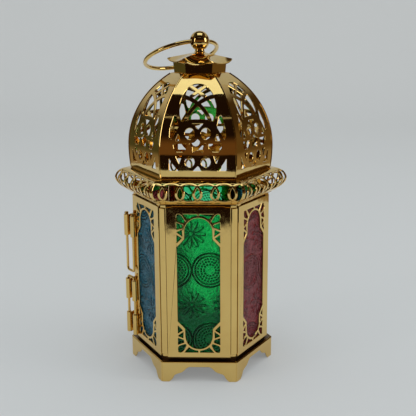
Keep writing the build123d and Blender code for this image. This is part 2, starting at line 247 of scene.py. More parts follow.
def makeGlass(name, look, tint, shift):
    g = Graph(bpy.data.materials.new(name))
    own = look[tint]
    place = g.place()
    spot = g.node("ShaderNodeSeparateXYZ", {}, {0: place})
    across = g.out(spot, 1) * (1 / mm) - shift[0]
    up = g.out(spot, 2) * (1 / mm) - shift[1]
    wide, tall = look["pitch"]
    start, end = look["petal"]

    def polar(x, z):
        return (x * x + z * z) ** 0.5, x.calc("ARCTAN2", z, x)

    def pressing(x, z):  # what stands up, and what stays dark: thick lines, beads and the painted shade around the petals
        near, turn = polar(x.wrap(wide), z.wrap(tall))
        rim = g.smooth((near - look["rim"]).abs(), *look["rimLine"])
        ring = g.smooth((near - look["ring"]).abs(), *look["ringLine"])
        row = near.calc("ROUND", near * (1 / look["bead"])) * look["bead"]
        aside, off = (turn * row).wrap(look["bead"]), near - row
        beads = g.smooth((aside * aside + off * off) ** 0.5, *look["beadEdge"])
        beads = beads * g.smooth(near, *look["beadsOut"]) * g.smooth(near, *look["beadsIn"])
        far, way = polar((x - wide / 2).wrap(wide), (z - tall / 2).wrap(tall))
        point = (way * (look["petals"] / 2)).cos().abs() - far * (look["taper"] / end)
        petal = g.smooth(point, *look["petalEdge"]) * g.smooth(far, start, start + look["petalFoot"])
        flower = petal.max(g.smooth(far, *look["heartEdge"]))
        # painted shade: a dark disc round each daisy, outside its petals
        petalShade = (1 - flower) * g.smooth(far, end, end * look["petalShadeEnd"])
        high = rim.max(ring).max(flower * g.smooth(far, end, end - look["petalTip"]))
        deep = rim.max(ring * look["ringShade"]).max(petalShade)
        return high.max(beads * look["beadRise"]), deep.max(beads * look["beadShade"])

    high, deep = pressing(across, up)
    # painted light: the relief one small step towards the lower right, less the relief here; above zero on
    # slopes facing the upper left, below zero on slopes facing away
    paintedEmboss = pressing(across + look["paintedLightSlant"][0], up + look["paintedLightSlant"][1])[0] - high
    streak = g.noise(place, *look["streak"])
    grain = g.smooth(g.noise(place, *look["grain"]), *look["grainMarks"])
    worn = g.smooth(streak, *look["streakMarks"]).max(grain) * own["grain"]
    colour = g.blend((deep * look["shade"]).max(worn), own["tint"], own["line"])
    # painted shade: the dark line colour on relief slopes that face away from the upper left
    colour = g.blend(paintedEmboss * -own["paintedEmbossStrength"], colour, own["line"])
    # painted highlight: a brighter tint on relief slopes that face the upper left
    colour = g.blend(paintedEmboss * (look["paintedHighlightShare"] * own["paintedEmbossStrength"]), colour, own["paintedHighlight"])
    height = high + streak * look["streakRise"] + grain * look["grainRise"]
    return g.surface(
        Base_Color=colour, Transmission_Weight=own["clear"], IOR=look["bend"],
        Roughness=look["rough"] + streak * look["streakRough"], Normal=g.bump(height, look["depth"]),
    )


print("glass ready")


def softened(points, radius):  # rounds each corner of an outline
    steps, share = 3, 0.4  # share of a side that a corner may take
    path = []
    points = [Vector(point) for point in points]
    for before, here, after in zip(points[-1:] + points[:-1], points, points[1:] + points[:1]):
        ends = []
        for other in (before, after):
            reach = min(radius, share * (other - here).length)
            ends.append(here + (other - here).normalized() * reach)
        for i in range(steps + 1):
            t = i / steps
            path.append(ends[0] * (1 - t) ** 2 + here * 2 * t * (1 - t) + ends[1] * t * t)
    return [tuple(point) for point in path]


def mirrored(points):
    return [(-x, y) for x, y in points[::-1]]


def oblong(left, low, right, top):
    return [(left, low), (right, low), (right, top), (left, top)]


def circle(x, y, radius, count, start=0.0, end=360.0):
    stops = count + (abs(end - start) < 360)
    turns = [math.radians(start + (end - start) * i / count) for i in range(stops)]
    return [(x + radius * math.cos(t), y + radius * math.sin(t)) for t in turns]


def band(points, width):
    edges = ([], [])
    for i, (x, y) in enumerate(points):
        before = Vector(points[max(i - 1, 0)])
        after = Vector(points[min(i + 1, len(points) - 1)])
        along = (after - before).normalized()
        edges[0].append((x - along.y * width / 2, y + along.x * width / 2))
        edges[1].append((x + along.y * width / 2, y - along.x * width / 2))
    return edges[0] + edges[1][::-1]


def sheetMesh(outlines, thick, bevel, steps):
    curve = bpy.data.curves.new("outline", "CURVE")
    curve.dimensions = "2D"
    curve.fill_mode = "BOTH"
    curve.extrude = thick / 2 - bevel
    curve.bevel_depth = bevel
    curve.bevel_resolution = steps
    curve.offset = -bevel
    for outline in outlines:
        spline = curve.splines.new("POLY")
        spline.points.add(len(outline) - 1)
        for point, (x, y) in zip(spline.points, outline):
            point.co = (x, y, 0, 1)
        spline.use_cyclic_u = True
    holder = bpy.data.objects.new("outline", curve)
    scene.collection.objects.link(holder)
    bpy.context.view_layer.update()
    ready = holder.evaluated_get(bpy.context.evaluated_depsgraph_get())
    mesh = bpy.data.meshes.new_from_object(ready)
    bpy.data.objects.remove(holder)
    return mesh


def joinInto(bm, piece):
    mesh = bpy.data.meshes.new("part")
    piece.to_mesh(mesh)
    piece.free()
    bm.from_mesh(mesh)
    bpy.data.meshes.remove(mesh)


def everything(bm):
    return bm.verts[:] + bm.edges[:] + bm.faces[:]


def addSheet(bm, outlines, lay, thick=metal, bevel=0.2, levels=(), drop=0.0, steps=0):
    piece = bmesh.new()
    piece.from_mesh(sheetMesh(outlines, thick, bevel, steps))
    bmesh.ops.remove_doubles(piece, verts=piece.verts[:], dist=weldGap)
    for level in levels:  # more rows, so that it can bend
        spot = (0, level, 0)
        bmesh.ops.bisect_plane(piece, geom=everything(piece), dist=cutGap, plane_co=spot, plane_no=(0, 1, 0))
    for vert in piece.verts:
        u, v, w = vert.co
        vert.co = lay(u, v, w - thick / 2 - drop)  # outer face at zero
    joinInto(bm, piece)


def ringPoint(bm, reach, turn, z):
    return bm.verts.new((reach * math.cos(turn), reach * math.sin(turn), z))


def joinLoops(bm, loops):  # a skin from each loop of points to the next
    for a, b in zip(loops, loops[1:]):
        for k in range(len(a)):
            n = (k + 1) % len(a)
            bm.faces.new((a[k], a[n], b[n], b[k]))


def addTube(bm, points, radius, around):
    rings = []
    last = len(points) - 1
    guide = None
    for i, spot in enumerate(points):
        along = (Vector(points[min(i + 1, last)]) - Vector(points[max(i - 1, 0)])).normalized()
        if guide is None:
            guide = along.orthogonal().normalized()
        guide = (guide - along * guide.dot(along)).normalized()
        other = along.cross(guide)
        loop = []
        for k in range(around):
            t = math.tau * k / around
            loop.append(bm.verts.new(Vector(spot) + radius * (guide * math.cos(t) + other * math.sin(t))))
        rings.append(loop)
    joinLoops(bm, rings)
    bm.faces.new(rings[0][::-1])
    bm.faces.new(rings[-1])


def addTurning(bm, profile, around):  # starts and ends on the axis
    loops = []
    for radius, z in profile[1:-1]:
        loops.append([ringPoint(bm, radius, math.tau * k / around, z) for k in range(around)])
    joinLoops(bm, loops)
    foot, tip = (bm.verts.new((0, 0, profile[end][1])) for end in (0, -1))
    for k in range(around):
        n = (k + 1) % around
        bm.faces.new((foot, loops[0][n], loops[0][k]))
        bm.faces.new((loops[-1][k], loops[-1][n], tip))


def mitre(bm, capped=True):
    for sign in (-1, 1):
        turn = math.radians(sign * sideTurn / 2)
        normal = (-math.sin(turn) * sign, math.cos(turn) * sign, 0)
        cut = bmesh.ops.bisect_plane(
            bm, geom=everything(bm), dist=cutGap, plane_co=(0, 0, 0), plane_no=normal, clear_outer=True)
        if capped:
            edges = [part for part in cut["geom_cut"] if isinstance(part, bmesh.types.BMEdge)]
            bmesh.ops.edgenet_fill(bm, edges=edges)


def turned(bm, angle):
    copy = bm.copy()
    turn = Matrix.Rotation(math.radians(angle), 3, "Z")
    bmesh.ops.rotate(copy, verts=copy.verts[:], cent=(0, 0, 0), matrix=turn)
    return copy


def finishPiece(name, bm, body, node, material, sharp, place=None):
    bmesh.ops.recalc_face_normals(bm, faces=bm.faces[:])
    bmesh.ops.scale(bm, vec=(mm, mm, mm), verts=bm.verts[:])
    mesh = bpy.data.meshes.new(name)
    bm.to_mesh(mesh)
    bm.free()
    mesh.shade_smooth()
    mesh.set_sharp_from_angle(angle=math.radians(sharp))
    mesh.materials.append(material)
    piece = bpy.data.objects.new(name, mesh)
    scene.collection.objects.link(piece)
    if place:
        piece.matrix_world = place
    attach(piece, body)
    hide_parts(node)
    return piece


def brassPiece(name, bm, body, node, sharp=22):
    return finishPiece(name, bm, body, node, brass, sharp)


def sidePieces(label, bm, node):  # one copy on each side of the case
    for index, name in enumerate(sideNames):
        brassPiece(label + name, turned(bm, sideAngle(index)), "case", node + name)
    bm.free()


def sideBody(index):
    return "door" if index == doorSide else "case"


def sidePoint(angle, across, out):
    turn = math.radians(angle)
    x = out * math.cos(turn) - across * math.sin(turn)
    return (x, out * math.sin(turn) + across * math.cos(turn))


goreLow, goreHigh = span("gore_front")
neckFlat = span("neck_collar")[1].y
gore = {
    "low": goreLow.z, "top": goreHigh.z, "wall": 14.1, "tuck": 0.9, "neckInset": 0.85, "step": 1.6,
    "strap": 2.2, "strapSpot": (13.5, 25.7), "strapReach": 22.3, "strapTurns": (74, 2), "strapSteps": 30,
    "bar": 1.8, "barEnds": [(5.8, 54.0), (-4.6, 47.2)],
    "strapDrop": 0.05, "barDrop": 0.1, "stagger": 0.02,  # so that no two lie in one face
    "rib": 0.5, "ribSink": 0.12, "ribInset": 0.6, "ribSteps": 32, "ribAround": 10,
    # openings, across and up from the foot
    "eye": (2.85, 3.2), "eyeSteps": 28, "eyes": [(4.7, 10.3), (4.7, 26.7)], "soft": 0.7,
    "pairs": [
        [(9.2, 14.0), (10.9, 9.1), (13.0, 14.0)],
        [(9.9, 23.0), (13.1, 22.6), (11.4, 26.7)],
        [(11.2, 4.9), (16.8, 4.9), (16.8, 12.4), (15.6, 10.2), (13.5, 7.3)],
        [(6.3, 20.9), (6.6, 18.1), (8.5, 16.3), (12.5, 16.3), (14.0, 18.6), (14.2, 20.9)],
        [(16.2, 29.5), (13.8, 37.1), (12.4, 36.6), (11.2, 30.4), (13.8, 26.3), (15.4, 23.5), (16.4, 24.6)],
    ],
    "middles": [
        (0.4, [(-3.0, 4.8), (3.0, 4.8), (0, 7.9)]),
        (0.5, [(3.3, 32.4), (-3.3, 32.4), (0, 28.9)]),
    ],
    "halves": [  # star and arch, mirrored to make them whole
        (0.5, [(0, 17.4), (2.9, 15.9), (3.0, 19.1), (5.0, 21.1), (2.0, 21.7), (0, 23.7)]),
        (1.2, [(0, 34.9), (6.0, 34.7), (9.3, 33.4), (10.5, 37.1), (10.8, 42.5), (9.6, 46.5), (8.3, 49.3),
               (5.6, 52.4), (2.8, 53.9), (0, 54.2)]),
    ],
}
gore["spring"] = gore["low"] + gore["wall"]
goreRise = gore["top"] - gore["spring"]
goreDraw = bodyFlat - neckFlat - gore["neckInset"]
gore["arc"] = (goreRise ** 2 + goreDraw ** 2) / (2 * goreDraw)


def gorePoint(z):
    if z < gore["spring"]:
        return bodyFlat - gore["tuck"] * ((gore["spring"] - z) / gore["wall"]) ** 2, 0.0
    swing = math.asin(min(1.0, (z - gore["spring"]) / gore["arc"]))
    return bodyFlat - gore["arc"] + gore["arc"] * math.cos(swing), swing


def layGore(u, z, w):
    out, swing = gorePoint(z)
    return (out + w * math.cos(swing), u, z + w * math.sin(swing))


def goreHoles():
    s = gore
    wide, tall = s["eye"]
    turns = [math.tau * k / s["eyeSteps"] for k in range(s["eyeSteps"])]

    def hole(soft, spots):
        return softened([(x, s["low"] + z) for x, z in spots], soft)

    half = []
    for x, z in s["eyes"]:
        half.append([(x + wide * math.cos(t), s["low"] + z + tall * math.sin(t)) for t in turns])
    half += [hole(s["soft"], spots) for spots in s["pairs"]]
    holes = half + [mirrored(outline) for outline in half]
    holes += [hole(soft, spots) for soft, spots in s["middles"]]
    holes += [hole(soft, spots + mirrored(spots)[1:-1]) for soft, spots in s["halves"]]
    return holes


def makeGore():
    s = gore
    low, top = s["low"], s["top"]
    bm = bmesh.new()
    levels = [low + s["step"] * (i + 1) for i in range(int((top - low) / s["step"]))]
    wide = bodyFlat * tan30 + spare
    addSheet(bm, [oblong(-wide, low, wide, top)] + goreHoles(), layGore, levels=levels)
    for sign in (-1, 1):
        x, z = s["strapSpot"]
        start, end = (90 + turn * sign for turn in s["strapTurns"])
        strap = circle(x * sign, low + z, s["strapReach"], s["strapSteps"], start, end)
        bar = [(sign * x, low + z) for x, z in s["barEnds"]]
        for path, kind in ((strap, "strap"), (bar, "bar")):
            drop = s[kind + "Drop"] + s["stagger"] * sign
            addSheet(bm, [band(path, s[kind])], layGore, levels=levels, drop=drop)
    mitre(bm)
    crease = []
    for i in range(s["ribSteps"] + 1):
        z = low + s["ribInset"] + (top - low - 2 * s["ribInset"]) * i / s["ribSteps"]
        out = gorePoint(z)[0] - s["ribSink"]
        crease.append((out, out * tan30, z))
    addTube(bm, crease, s["rib"], s["ribAround"])
    return bm


sidePieces("domeGore_", makeGore(), "gore_")
print("dome done")

corniceLow, corniceHigh = span("cornice_front")
cornice = {
    "low": corniceLow.z, "top": corniceHigh.z, "nose": -corniceLow.y, "back": -corniceHigh.y, "steps": 8,
    # profile, from the nose and the top or foot
    "upper": [(-8.0, 0.0), (-5.0, -0.45), (-1.95, -2.3), (-0.2, -5.5), (-0.55, -8.5)],
    "lower": [(-2.55, 3.7), (-4.95, 1.8), (-7.25, 0.1)], "noseGap": 0.05,
    # rings and the strips they stand between
    "pitch": 10.19, "radius": 7.3, "band": 1.35, "count": 6, "around": 56, "drops": (0.04, 0.09),
    "shift": 1.0, "cover": (0.3, 1.4), "strap": 1.3, "strapOver": 1.0, "strapDrop": 0.02,
}


def corniceProfile():
    s = cornice
    points = [(s["back"], s["top"])]
    points += [(s["nose"] + x, s["top"] + z) for x, z in s["upper"]]
    points += [(s["nose"] + x, s["low"] + z) for x, z in s["lower"]]
    return [Vector(point) for point in points + [(s["back"], s["low"])]]


def smoothPath(points, steps):  # a curve through the points, straight at both ends
    path = [points[0]]
    for a, b, c, d in zip(points, points[1:], points[2:], points[3:]):
        for k in range(steps):
            t = k / steps
            bend = (c - a) * t + (2 * a - 5 * b + 4 * c - d) * t * t + (3 * b - a - 3 * c + d) * t ** 3
            path.append(b + 0.5 * bend)
    return path + points[-2:]


cornicePath = smoothPath(corniceProfile(), cornice["steps"])
corniceRun = [0.0]
for a, b in zip(cornicePath, cornicePath[1:]):
    corniceRun.append(corniceRun[-1] + (b - a).length)


def layCornice(u, v, w):
    i = max(k for k in range(len(corniceRun) - 1) if corniceRun[k] <= max(v, 0.0))
    a, b = cornicePath[i], cornicePath[i + 1]
    spot = a.lerp(b, (v - corniceRun[i]) / (corniceRun[i + 1] - corniceRun[i]))
    near = cornicePath[max(i - 1, 0)]
    far = cornicePath[min(i + 2, len(cornicePath) - 1)]
    along = (far - near).normalized()
    return (min(spot.x - along.y * w, cornice["nose"] - cornice["noseGap"]), u, spot.y + along.x * w)


def makeCornice():
    s = cornice
    bm = bmesh.new()
    levels = corniceRun[1:-1]
    middle = (levels[0] + levels[-1]) / 2 + s["shift"]
    reach = s["radius"] + s["band"] / 2
    wide = s["nose"] * tan30 + spare
    over, under = s["cover"]
    for low, high in ((0.0, middle - reach + over), (middle + reach - under, corniceRun[-1])):
        addSheet(bm, [oblong(-wide, low, wide, high)], layCornice, levels=levels)
    for i in range(s["count"]):
        x = s["pitch"] * (i - s["count"] / 2 + 0.5)
        outlines = [circle(x, middle, radius, s["around"]) for radius in (reach, reach - s["band"])]
        addSheet(bm, outlines, layCornice, levels=levels, drop=s["drops"][i % 2])
    for sign in (-1, 1):  # strap along each corner
        edges = []
        for off in (-s["strap"], s["strapOver"]):
            edges.append([(sign * (spot.x * tan30 + off), run) for spot, run in zip(cornicePath, corniceRun)])
        addSheet(bm, [edges[0] + edges[1][::-1]], layCornice, levels=levels, drop=s["strapDrop"])
    mitre(bm)
    return bm


sidePieces("corniceSide_", makeCornice(), "cornice_")
print("cornice done")

panel = {
    "border": 6.45, "sill": 3.7, "header": 4.2, "edge": 0.32, "edgeSteps": 1,
    # window head: a half circle on two shoulders, and the crest over it
    "head": 8.4, "headDrop": 10.7, "headSteps": 18, "jamb": -9.7, "shoulder": 0.1, "shoulders": (-4.7, -3.6),
    "crest": 1.4, "crestTurns": (86, 50), "crestSteps": 10, "crestEnds": (9.0, 0.7),
    # tabs that hold the pane
    "tabTall": 5.0, "tabWide": 2.6, "tabGap": 0.5, "tabCorner": 0.6, "tabBevel": 0.15, "tabDrop": 0.1,
}
windowHalf = panelHigh.x - panel["border"]
windowLow = panelLow.z + panel["sill"]
windowTop = panelHigh.z - panel["header"]
windowMiddle = (windowLow + windowTop) / 2
headDrop = panel["headDrop"]
panel["corners"] = [  # small openings beside the head, each with its corner radius
    (1.5, [(7.7, 6.3), (10.5, headDrop), (windowHalf, headDrop), (windowHalf, 6.9), (8.4, 5.2)]),
    (0.35, [(9.2, 4.1), (windowHalf, 5.6), (windowHalf, 1.3), (9.5, 2.7)]),
    (0.35, [(9.8, 1.2), (windowHalf - 0.1, -0.2), (9.6, -2.7)]),
    (0.35, [(10.1, -3.9), (windowHalf, -2.0), (windowHalf, -6.9)]),
]
paneLow, paneHigh = span("glass_front")


def layPanel(u, z, w):
    return (bodyFlat + w, u, z)


def panelHoles():
    s = panel
    head = s["head"]
    centre = windowTop - headDrop - windowMiddle

    def fourWays(points):
        points = [(x, centre + z) for x, z in points]
        flipped = [(x, -z) for x, z in points[::-1]]
        ways = [points, mirrored(points), flipped, mirrored(flipped)]
        return [[(x, windowMiddle + z) for x, z in way] for way in ways]

    quarter = [(windowHalf, s["jamb"])] + [(head + s["shoulder"], z) for z in s["shoulders"]]
    quarter += circle(0, 0, head, s["headSteps"], 0, 90)
    quarter = [(x, centre + z) for x, z in quarter]
    upper = quarter + mirrored(quarter)[1:]
    holes = [[(x, windowMiddle + z) for x, z in upper + [(-x, -z) for x, z in upper]]]
    crest = circle(0, 0, head + s["crest"], s["crestSteps"], *s["crestTurns"])
    holes += fourWays(crest + [(x, headDrop) for x in s["crestEnds"]])
    for soft, spots in s["corners"]:
        holes += fourWays(softened(spots, soft))
    return holes


def makePanel():
    s = panel
    bm = bmesh.new()
    plate = oblong(-panelHigh.x, panelLow.z, panelHigh.x, panelHigh.z)
    addSheet(bm, [plate] + panelHoles(), layPanel, bevel=s["edge"], steps=s["edgeSteps"])
    inner = panelHigh.y + bodyFlat  # depth of the bent tabs
    for side in (-1, 1):
        for flip in (-1, 1):
            z = windowMiddle + flip * (panelHigh.z - panelLow.z) / 4
            low, top = z - s["tabTall"] / 2, z + s["tabTall"] / 2
            u = side * (paneHigh.x + s["tabGap"])
            stem = oblong(u - metal / 2, low, u + metal / 2, top)
            addSheet(bm, [stem], layPanel, inner - s["tabDrop"], s["tabBevel"], drop=s["tabDrop"])
            root, tip = u - metal / 2 * side, u + (metal / 2 - s["tabWide"]) * side
            lip = [(root, low), (root, top), (tip, top - s["tabCorner"]), (tip, low + s["tabCorner"])]
            addSheet(bm, [lip], layPanel, metal, s["tabBevel"], drop=inner - metal)
    return bm


panelPiece = makePanel()
for index, name in enumerate(sideNames):
    isDoor = index == doorSide
    node = "door_panel" if isDoor else "panel_" + name
    label = "doorPanel" if isDoor else "windowPanel_" + name
    brassPiece(label, turned(panelPiece, sideAngle(index)), sideBody(index), node)
panelPiece.free()
print("panels done")

pane = {
    "step": 0.75, "depth": 0.45, "edge": 0.35, "skin": 0.05, "backGap": 0.03, "sharp": 50,
    "rimRidge": 1.2, "ringRidge": 0.9, "petalTip": 1.2, "petalFoot": 0.6, "petalCut": 0.4, "heart": 1.7,
    "tints": ["blue", "green", "red", "blue", "green", "red"],
    "shifts": [(3.0, 60.0), (-4.0, 50.0), (1.0, 70.0), (-6.0, 64.0), (6.8, 72.4), (-3.0, 66.0)],
}


def wrapped(value, pitch):
    return (value + pitch / 2) % pitch - pitch / 2


def ridge(distance, width):
    return max(0.0, 1.0 - (distance / width) ** 2)


def paneRelief(u, z, shift):  # pressed medallions and daisies
    s, look = pane, glassLook
    wide, tall = look["pitch"]
    near = math.hypot(wrapped(u - shift[0], wide), wrapped(z - shift[1], tall))
    height = max(ridge(near - look["rim"], s["rimRidge"]), ridge(near - look["ring"], s["ringRidge"]))
    x, y = wrapped(u - shift[0] - wide / 2, wide), wrapped(z - shift[1] - tall / 2, tall)
    far = math.hypot(x, y)
    start, end = look["petal"]
    inside = max(0.0, min(1.0, (end - far) / s["petalTip"], (far - start) / s["petalFoot"]))
    point = abs(math.cos(math.atan2(y, x) * look["petals"] / 2)) - s["petalCut"]
    petal = inside * max(0.0, point) / (1 - s["petalCut"])
    return max(height, petal, ridge(far, s["heart"]))


def makePane(shift):
    s = pane
    bm = bmesh.new()
    half, low, top = paneHigh.x, paneLow.z, paneHigh.z
    face, back = -paneLow.y, -paneHigh.y
    columns = int(2 * half / s["step"])
    rows = int((top - low) / s["step"])
    grid = []
    for j in range(rows + 1):
        line = []
        for i in range(columns + 1):
            u = -half + 2 * half * i / columns
            z = low + (top - low) * j / rows
            dip = s["edge"] if min(i, columns - i, j, rows - j) == 0 else s["skin"]
            dip = max(dip, s["depth"] * (1 - paneRelief(u, z, shift)))
            line.append(bm.verts.new((face - dip, u, z)))
        grid.append(line)
    for j in range(rows):
        for i in range(columns):
            bm.faces.new((grid[j][i], grid[j][i + 1], grid[j + 1][i + 1], grid[j + 1][i]))
    loop = [grid[0][i] for i in range(columns)] + [grid[j][columns] for j in range(rows)]
    loop += [grid[rows][i] for i in range(columns, 0, -1)] + [grid[j][0] for j in range(rows, 0, -1)]
    behind = [bm.verts.new((back + s["backGap"], vert.co.y, vert.co.z)) for vert in loop]
    joinLoops(bm, [behind, loop])
    bm.faces.new(behind)
    return bm


for index, name in enumerate(sideNames):
    tint, shift = pane["tints"][index], pane["shifts"][index]
    glass = makeGlass("pressedGlass_" + name, glassLook, tint, shift)
    place = Matrix.Rotation(math.radians(sideAngle(index)), 4, "Z")
    finishPiece(
        "pane_" + name, makePane(shift), sideBody(index), "glass_" + name, glass,
        pane["sharp"], place)
print("panes done")

postLow, postHigh = span("post_right")
post = {
    "face": postHigh.x, "half": 2.14, "doorHalf": 2.3, "low": 1.6, "top": 1.0, "bulge": 0.14, "bevel": 0.15,
    "strip": [(1.0, -1.4), (1.0, -0.35), (0.84, -0.08), (0.45, 0.084)],  # share of the half width, and depth
    "core": [(-0.12, -1.3), (-0.9, -2.7)], "coreFoot": 0.6,
    "foot": [(1.0, -2.0), (1.0, -2.7)], "thinBevel": 0.1,
    "wing": [(19.5, 38.45), (16.1, 38.45), (16.1, 37.66), (19.1, 37.66)], "wingFoot": 0.3,
}


def layCorner(top):
    def lay(u, v, w):
        return (v, u, top + w)
    return lay


def makePost(wings):
    s = post
    bm = bmesh.new()
    face, crown = s["face"], postHigh.z
    half = s["half"] if len(wings) == 2 else s["doorHalf"]
    low, top = panelLow.z + s["low"], panelHigh.z - s["top"]
    strip = [(share * half, face + deep) for share, deep in s["strip"]]
    core = [(half + x, face + deep) for x, deep in s["core"]]
    foot = [(x, face + deep) for x, deep in s["foot"]]
    strip += [(0, face + s["bulge"])] + mirrored(strip)
    addSheet(bm, [strip], layCorner(top), top - low, s["bevel"])
    tall = crown - panelLow.z
    addSheet(bm, [core + mirrored(core)], layCorner(crown), tall + s["coreFoot"], s["bevel"])
    addSheet(bm, [foot + mirrored(foot)], layCorner(crown), crown - postLow.z, s["thinBevel"])
    for sign in wings:  # behind the edge of the panel beside it
        section = [sidePoint(sign * sideTurn / 2, -sign * u, out)[::-1] for u, out in s["wing"]]
        addSheet(bm, [section], layCorner(crown), tall - s["wingFoot"], s["thinBevel"])
    return bm


for index, name in enumerate(postNames):
    wings = [sign for sign, side in ((-1, index - 1), (1, index)) if side % sides != doorSide]
    brassPiece("cornerPost_" + name, turned(makePost(wings), sideTurn * index), "case", "post_" + name)
print("posts done")

skirtHigh = span("base_skirt")[1]
skirt = {
    "flat": skirtHigh.y, "height": skirtHigh.z, "level": 0.5, "weld": 0.01, "near": 0.05,
    "fold": 0.5, "foldSteps": 3,
    "arch": [
        (18.8, 0), (17.9, 0.75), (16.9, 1.75), (16.1, 3.0), (15.5, 4.3), (14.5, 4.95), (13.4, 5.4),
        (12.3, 5.75), (11.3, 6.1), (10.4, 6.6), (9.5, 7.3), (8.6, 8.3), (7.6, 9.2), (6.4, 9.9),
    ],
}


def laySkirt(u, z, w):
    return (skirt["flat"] + w, u, z)


def makeSkirtSide():
    s = skirt
    bm = bmesh.new()
    wide = s["flat"] * tan30 + spare
    half = [(wide, s["height"]), (wide, 0)] + s["arch"]
    addSheet(bm, [mirrored(half)[::-1] + half[::-1]], laySkirt)
    level = math.radians(s["level"])
    bmesh.ops.dissolve_limit(bm, angle_limit=level, verts=bm.verts[:], edges=bm.edges[:])
    mitre(bm, capped=False)
    return bm


def onFold(spot):  # on one of the six corners
    turn = math.degrees(math.atan2(spot.y, spot.x))
    return abs(turn - sideTurn * round(turn / sideTurn)) < skirt["near"]


def makeSkirt():
    s = skirt
    bm, side = bmesh.new(), makeSkirtSide()
    for index in range(sides):
        joinInto(bm, turned(side, sideAngle(index)))
    side.free()
    bmesh.ops.remove_doubles(bm, verts=bm.verts[:], dist=s["weld"])
    folds = [edge for edge in bm.edges if all(onFold(vert.co) for vert in edge.verts)]
    bmesh.ops.bevel(bm, geom=folds, offset=s["fold"], segments=s["foldSteps"], affect="EDGES")
    return bm


brassPiece("baseSkirt", makeSkirt(), "case", "base_skirt")
print("base done")

capHigh = span("cap")[1]
capSeat = capHigh.z
cap = {
    "corner": capHigh.x, "boss": 3.4, "rise": 4.6, "crown": 3.6, "hole": 1.7, "around": 180, "rings": 16,
    "scallop": 0.12, "rim": [(0.985, 0.0), (1.0, 0.25), (1.0, 0.75), (0.985, 1.0)], "sharp": 30,
    # heading and height of each ridge, and the sag and its bend between two
    "ridges": [(0, 0.9), (60, 1.4), (120, 1.4), (180, 1.5), (240, 1.3), (291, 0.6), (360, 0.9)],
    "sags": [(1.6, 3), (1.6, 3), (1.6, 3), (1.5, 3), (2.9, 1), (3.6, 3)],
}


def capLobe(angle):  # droop, height of the ridges, sag and its bend
    for (a, high), (b, ahead), sag in zip(cap["ridges"], cap["ridges"][1:], cap["sags"]):
        if a <= angle <= b:
            part = (angle - a) / (b - a)
            return math.sin(math.pi * part), high + (ahead - high) * part, *sag


def makeCap():
    s = cap
    bm = bmesh.new()
    low = capSeat - s["crown"] - metal
    steps = [i / s["rings"] for i in range(s["rings"])]
    profile = [(step, 0.0) for step in steps] + s["rim"] + [(step, 1.0) for step in steps[::-1]]
    loops = []
    for step, level in profile:
        loop = []
        for k in range(s["around"]):
            angle = 360 * k / s["around"]
            droop, stand, sag, bend = capLobe(angle)
            rim = s["corner"] * (1 - s["scallop"] * droop)
            radius = s["hole"] + (rim - s["hole"]) * step
            part = max(0.0, (radius - s["boss"]) / (s["corner"] - s["boss"]))
            wave = part * stand * (1 - droop) - part ** bend * sag * droop
            z = low + s["rise"] * (1 - part) + wave + metal * level
            loop.append(ringPoint(bm, radius, math.radians(angle), z))
        loops.append(loop)
    joinLoops(bm, loops + loops[:1])
    return bm


brassPiece("cap", makeCap(), "case", "cap", cap["sharp"])

neckLow, neckHigh = span("neck_collar")
neck = {
    "dip": 0.8, "bent": (4, 5), "topGap": 0.05, "flare": 0.55, "edge": 0.08, "edgeSteps": 2, "sharp": 30,
}


def makeNeck():
    s = neck
    bm = bmesh.new()
    tops = [neckHigh.z - (s["dip"] if k in s["bent"] else s["topGap"]) for k in range(sides)]
    feet = [neckLow.z] * sides
    loops = []
    for inset, heights in ((s["flare"], feet), (0.0, tops), (metal, tops), (metal + s["flare"], feet)):
        reach = (neckFlat - inset) / math.cos(math.radians(sideTurn / 2))
        loops.append([ringPoint(bm, reach, math.radians(sideTurn * k), z) for k, z in enumerate(heights)])
    joinLoops(bm, loops + loops[:1])
    bmesh.ops.bevel(bm, geom=bm.edges[:], offset=s["edge"], segments=s["edgeSteps"], affect="EDGES")
    return bm


brassPiece("neckCollar", makeNeck(), "case", "neck_collar", neck["sharp"])

finialLow, finialHigh = span("finial")
ballSpot = jointSpot("ring_swing")
finial = {
    "radius": finialHigh.z - ballSpot.z, "steps": 40, "around": 72, "sharp": 40, "stud": 1.5, "stem": 2.8,
    "foot": 4.8, "flange": [(-0.1, 0.0), (0.0, 0.1), (-0.25, 0.3), (-0.8, 0.65), (-1.35, 1.15)],
    "throat": [(0.25, 1.75), (0.05, 2.35)],
    "hole": 2.47, "holeReach": 9.0, "holeAround": 40, "heading": 126,
}
ring = {"radius": 23.4, "wire": 1.35, "slack": 0.01, "tilt": 23.5, "steps": 144, "around": 18, "sharp": 50}


def makeFinial():
    s = finial
    bm = bmesh.new()
    profile = [(0, finialLow.z), (s["stud"], finialLow.z), (s["stud"], capSeat)]
    profile += [(s["foot"] + x, capSeat + z) for x, z in s["flange"]]
    profile += [(s["stem"] + x, capSeat + z) for x, z in s["throat"]]
    start = math.asin(s["stem"] / s["radius"])
    for i in range(s["steps"]):
        t = start + (math.pi - start) * i / s["steps"]
        profile.append((s["radius"] * math.sin(t), ballSpot.z - s["radius"] * math.cos(t)))
    profile.append((0, ballSpot.z + s["radius"]))
    addTurning(bm, profile, s["around"])
    return bm


